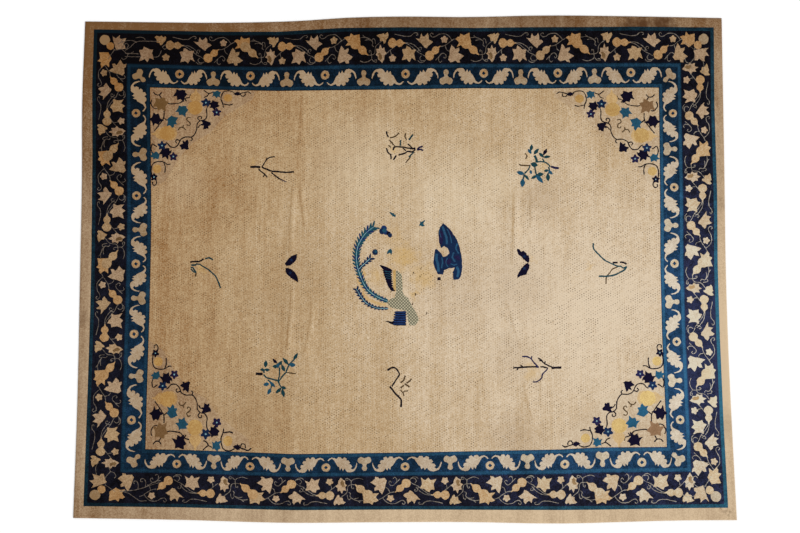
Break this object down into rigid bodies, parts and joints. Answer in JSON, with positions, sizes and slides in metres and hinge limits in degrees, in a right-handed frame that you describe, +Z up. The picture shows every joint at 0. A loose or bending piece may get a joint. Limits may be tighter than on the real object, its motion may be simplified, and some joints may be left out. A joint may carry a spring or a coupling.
{
  "type": "carpet",
  "caption": "Room-size rectangular Chinese hand-knotted wool carpet lying flat, with a blue double border of bats, coins and gourd vines round a tan field of sprays.",
  "frame": {"origin": "on the floor under the middle of the carpet", "axes": "+X along the long edges, to the right in the picture; +Y along the short edges, to the far edge in the picture; +Z up out of the pile"},
  "size_m": [3.6, 2.8159, 0.0124],
  "materials": {
    "wool_pile": "matt clipped wool pile"
  },
  "bodies": {
    "root": {"carpet": "wool_pile"}
  },
  "joints": []
}
